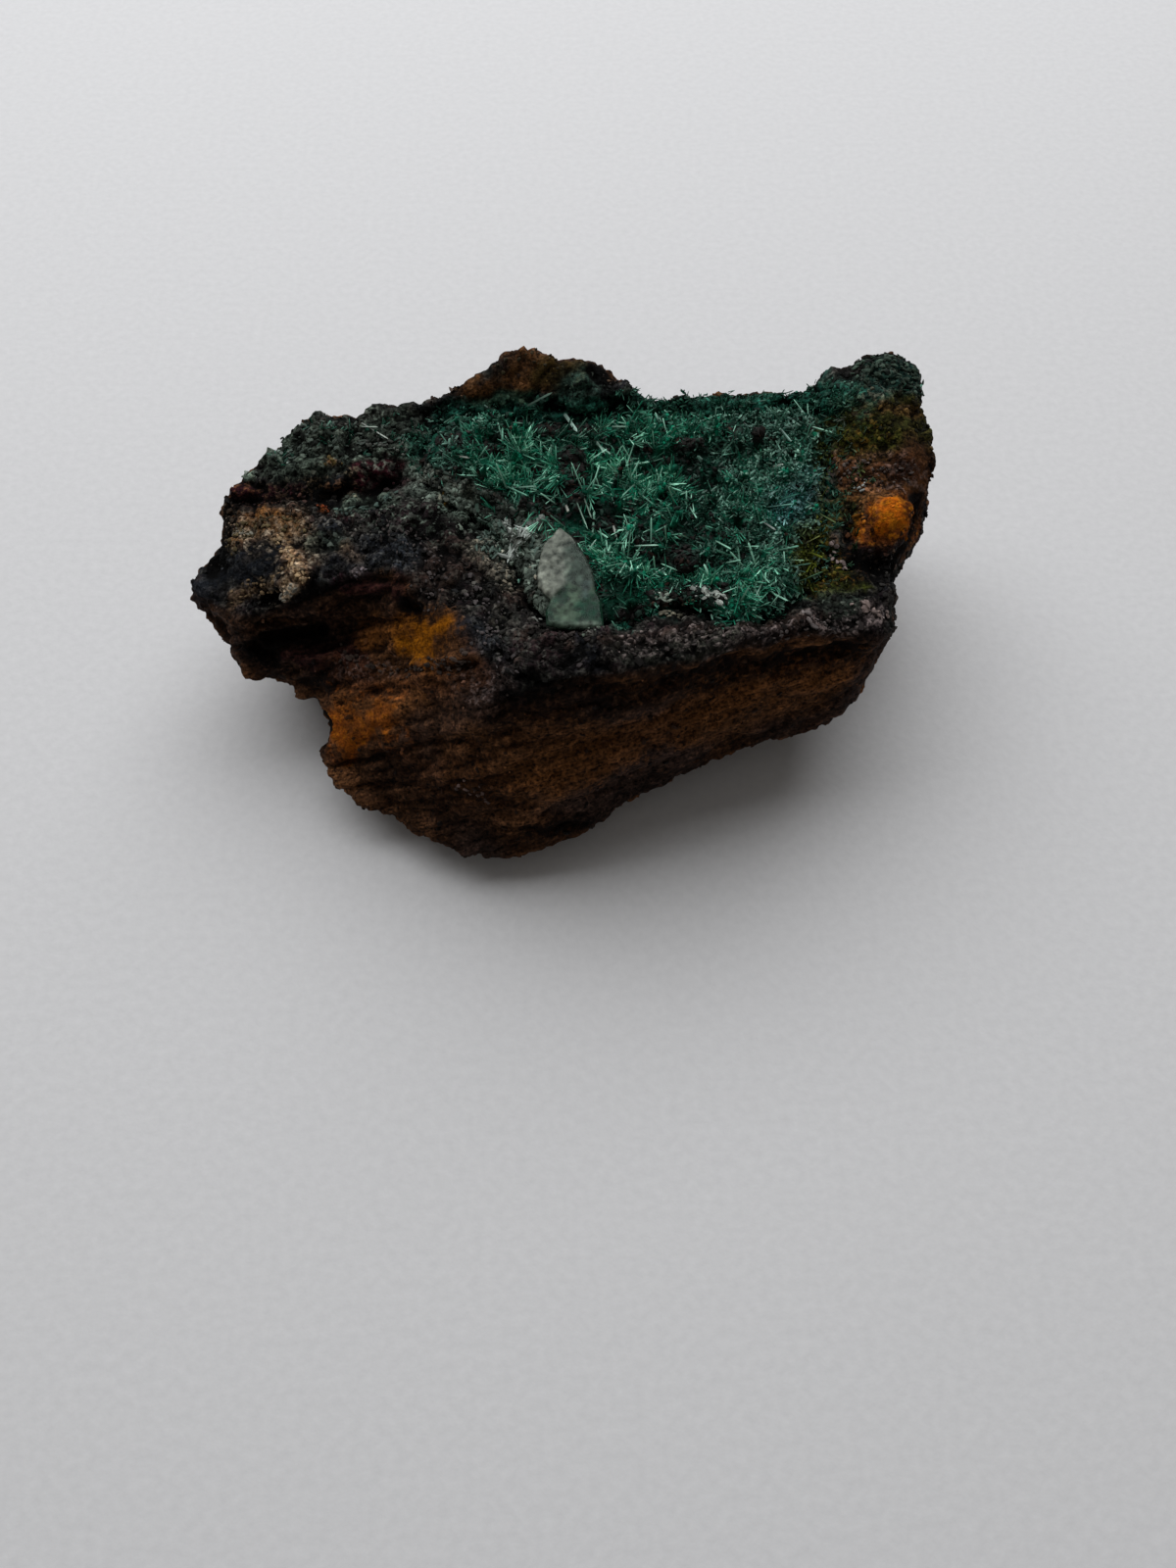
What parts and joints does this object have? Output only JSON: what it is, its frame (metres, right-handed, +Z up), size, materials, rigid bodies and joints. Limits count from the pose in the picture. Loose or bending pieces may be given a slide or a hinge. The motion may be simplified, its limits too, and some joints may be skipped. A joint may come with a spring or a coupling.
{
  "type": "brochantite mineral specimen",
  "caption": "Hand specimen: a crust of green brochantite needles in the hollow of a rusty limonite rock, with a clear crystal flake leaning on it.",
  "frame": {"origin": "under the middle of the rock's bounding box, on the plane that it rests on", "axes": "+X along the rock's length from its pointed nose to its horned end, +Z up, the broken front face towards -Y"},
  "size_m": [0.0406, 0.0254, 0.0146],
  "materials": {
    "matrix": "rough earthy break",
    "brochantite_crust": "glassy fine needles",
    "clear_flake": "clear, lightly hazed"
  },
  "bodies": {
    "root": {"matrix": "matrix", "brochantite_crust": "brochantite_crust", "clear_flake": "clear_flake"}
  },
  "joints": []
}
